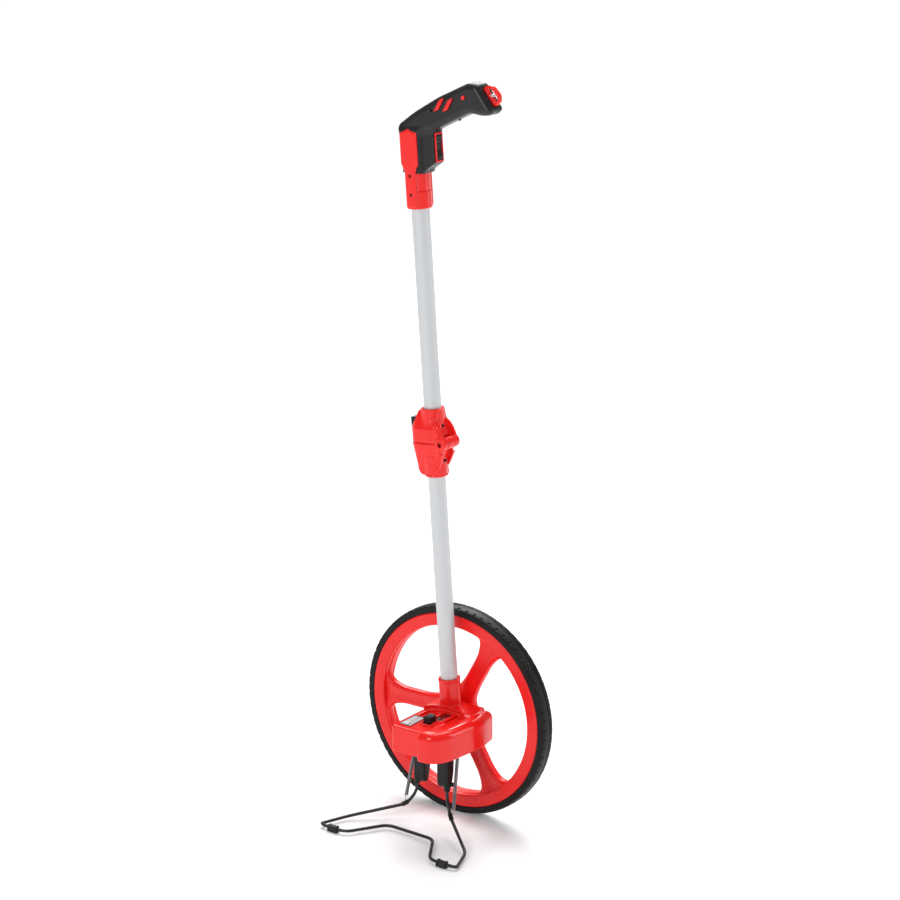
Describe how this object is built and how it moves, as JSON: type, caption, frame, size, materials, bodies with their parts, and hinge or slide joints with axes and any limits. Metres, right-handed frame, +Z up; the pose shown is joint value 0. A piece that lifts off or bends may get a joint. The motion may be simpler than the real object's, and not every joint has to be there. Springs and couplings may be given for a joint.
{
  "type": "measuring wheel",
  "caption": "Folding measuring wheel with a spoked rubber-tyred wheel, geared counter housing, hinged aluminium pole with offset pistol grip, and a folding wire stand.",
  "frame": {"origin": "middle of the footprint, on the floor the wheel and feet stand on", "axes": "+X to the rear, where the user walks and the grip points; the wheel rolls along X; +Y from the counter side to the wheel side, along the axle; +Z up"},
  "size_m": [0.3184, 0.1976, 1.0808],
  "materials": {
    "tyre": "satin black rubber",
    "red_plastic": "glossy moulded red",
    "brass": "plain turned",
    "white_plastic": "satin white",
    "red_drum": "satin red",
    "steel": "bright zinc",
    "spring_steel": "drawn spring wire",
    "black_plastic": "fine-grained black",
    "clear_window": "clear acrylic",
    "label": "printed dark grey",
    "black_wire": "black coated wire",
    "foot_rubber": "matt black",
    "tube": "satin anodised",
    "soft_grip": "soft-touch charcoal"
  },
  "bodies": {
    "base": {"housing_shell": "red_plastic", "bottom_cover": "black_plastic", "cover_screw_1": "steel", "cover_screw_2": "steel", "cover_screw_3": "steel", "cover_screw_4": "steel", "window_lens": "clear_window", "label_plate": "label", "reset_spring": "steel", "counter_frame": "steel", "axle": "steel", "axle_nut": "steel", "stand_mount": "black_plastic", "stand_pin": "steel", "lower_tube": "tube", "hinge_lower": "red_plastic", "hinge_screw_lower": "steel", "hinge_pin": "steel"},
    "wheel": {"tyre": "tyre", "wheel_rim": "red_plastic", "outer_bush": "brass", "inner_bush": "brass", "drive_gear": "white_plastic", "hub_cap": "red_plastic"},
    "counter_input": {"counter_shaft": "steel", "counter_gear": "white_plastic", "digit_drum_1": "red_drum"},
    "drum_2": {"digit_drum_2": "white_plastic"},
    "drum_3": {"digit_drum_3": "white_plastic"},
    "drum_4": {"digit_drum_4": "white_plastic"},
    "drum_5": {"digit_drum_5": "white_plastic"},
    "reset": {"reset_knob": "black_plastic"},
    "stand": {"stand_wire": "black_wire", "stand_arm_left": "black_plastic", "stand_arm_right": "black_plastic", "stand_foot_left": "foot_rubber", "stand_foot_right": "foot_rubber"},
    "spring_left": {"stand_spring_left": "spring_steel"},
    "spring_right": {"stand_spring_right": "spring_steel"},
    "upper_pole": {"upper_tube": "tube", "hinge_upper": "red_plastic", "hinge_screw_upper": "steel", "latch_spring": "spring_steel", "handle_shell_left": "soft_grip", "handle_shell_right": "soft_grip", "shield_left": "red_plastic", "shield_right": "red_plastic", "handle_collar": "red_plastic", "collar_screw_1": "steel", "collar_screw_2": "steel", "trigger_spring": "spring_steel", "trigger_bezel": "red_plastic", "lanyard_loop": "red_plastic", "stripe_front": "red_plastic", "stripe_rear": "red_plastic", "grip_plug": "red_plastic"},
    "latch": {"latch_button": "black_plastic"},
    "trigger_lever": {"trigger": "black_plastic"}
  },
  "joints": [
    {"name": "wheel_spin", "type": "hinge", "parent": "base", "child": "wheel", "pos_m": [0, 0.07875, 0.15915], "axis": [0, 1, 0], "continuous": true},
    {"name": "counter_drum_1_spin", "type": "hinge", "parent": "base", "child": "counter_input", "pos_m": [0.024, 0.07875, 0.15915], "axis": [0, 1, 0], "continuous": true},
    {"name": "counter_drum_2_spin", "type": "hinge", "parent": "base", "child": "drum_2", "pos_m": [0.024, 0.07875, 0.15915], "axis": [0, 1, 0], "continuous": true},
    {"name": "counter_drum_3_spin", "type": "hinge", "parent": "base", "child": "drum_3", "pos_m": [0.024, 0.07875, 0.15915], "axis": [0, 1, 0], "continuous": true},
    {"name": "counter_drum_4_spin", "type": "hinge", "parent": "base", "child": "drum_4", "pos_m": [0.024, 0.07875, 0.15915], "axis": [0, 1, 0], "continuous": true},
    {"name": "counter_drum_5_spin", "type": "hinge", "parent": "base", "child": "drum_5", "pos_m": [0.024, 0.07875, 0.15915], "axis": [0, 1, 0], "continuous": true},
    {"name": "reset_press", "type": "slide", "parent": "base", "child": "reset", "axis": [0, 0, -1], "range_m": [0, 0.003], "stiffness_N_per_m": 600, "springref_m": -0.003, "deforming": ["reset_spring"]},
    {"name": "stand_fold", "type": "hinge", "parent": "base", "child": "stand", "pos_m": [0, 0.01675, 0.122], "axis": [-1, 0, 0], "range_deg": [0, 88]},
    {"name": "stand_spring_left_swing", "type": "hinge", "parent": "base", "child": "spring_left", "pos_m": [-0.0362, 0.02915, 0.1321], "axis": [-1, 0, 0], "range_deg": [0, 76.1]},
    {"name": "stand_spring_right_swing", "type": "hinge", "parent": "base", "child": "spring_right", "pos_m": [0.0362, 0.02915, 0.1321], "axis": [-1, 0, 0], "range_deg": [0, 76.1]},
    {"name": "pole_fold", "type": "hinge", "parent": "base", "child": "upper_pole", "pos_m": [0.00554, 0.04275, 0.57155], "axis": [0, 1, 0], "range_deg": [0, 150]},
    {"name": "latch_press", "type": "slide", "parent": "upper_pole", "child": "latch", "axis": [0.9974, 0, 0.0722], "range_m": [0, 0.004], "stiffness_N_per_m": 600, "springref_m": -0.003, "deforming": ["latch_spring"]},
    {"name": "trigger_squeeze", "type": "slide", "parent": "upper_pole", "child": "trigger_lever", "axis": [-0.9974, 0, -0.0722], "range_m": [0, 0.005], "stiffness_N_per_m": 800, "springref_m": -0.004, "deforming": ["trigger_spring"]}
  ],
  "couplings": [
    {"joint": "counter_drum_1_spin", "follows": "wheel_spin", "ratio": -1},
    {"joint": "counter_drum_2_spin", "follows": "wheel_spin", "ratio": -0.1},
    {"joint": "counter_drum_3_spin", "follows": "wheel_spin", "ratio": -0.01},
    {"joint": "counter_drum_4_spin", "follows": "wheel_spin", "ratio": -0.001},
    {"joint": "counter_drum_5_spin", "follows": "wheel_spin", "ratio": -0.0001},
    {"joint": "stand_spring_left_swing", "follows": "stand_fold", "ratio": 0.8637},
    {"joint": "stand_spring_right_swing", "follows": "stand_fold", "ratio": 0.8637}
  ]
}
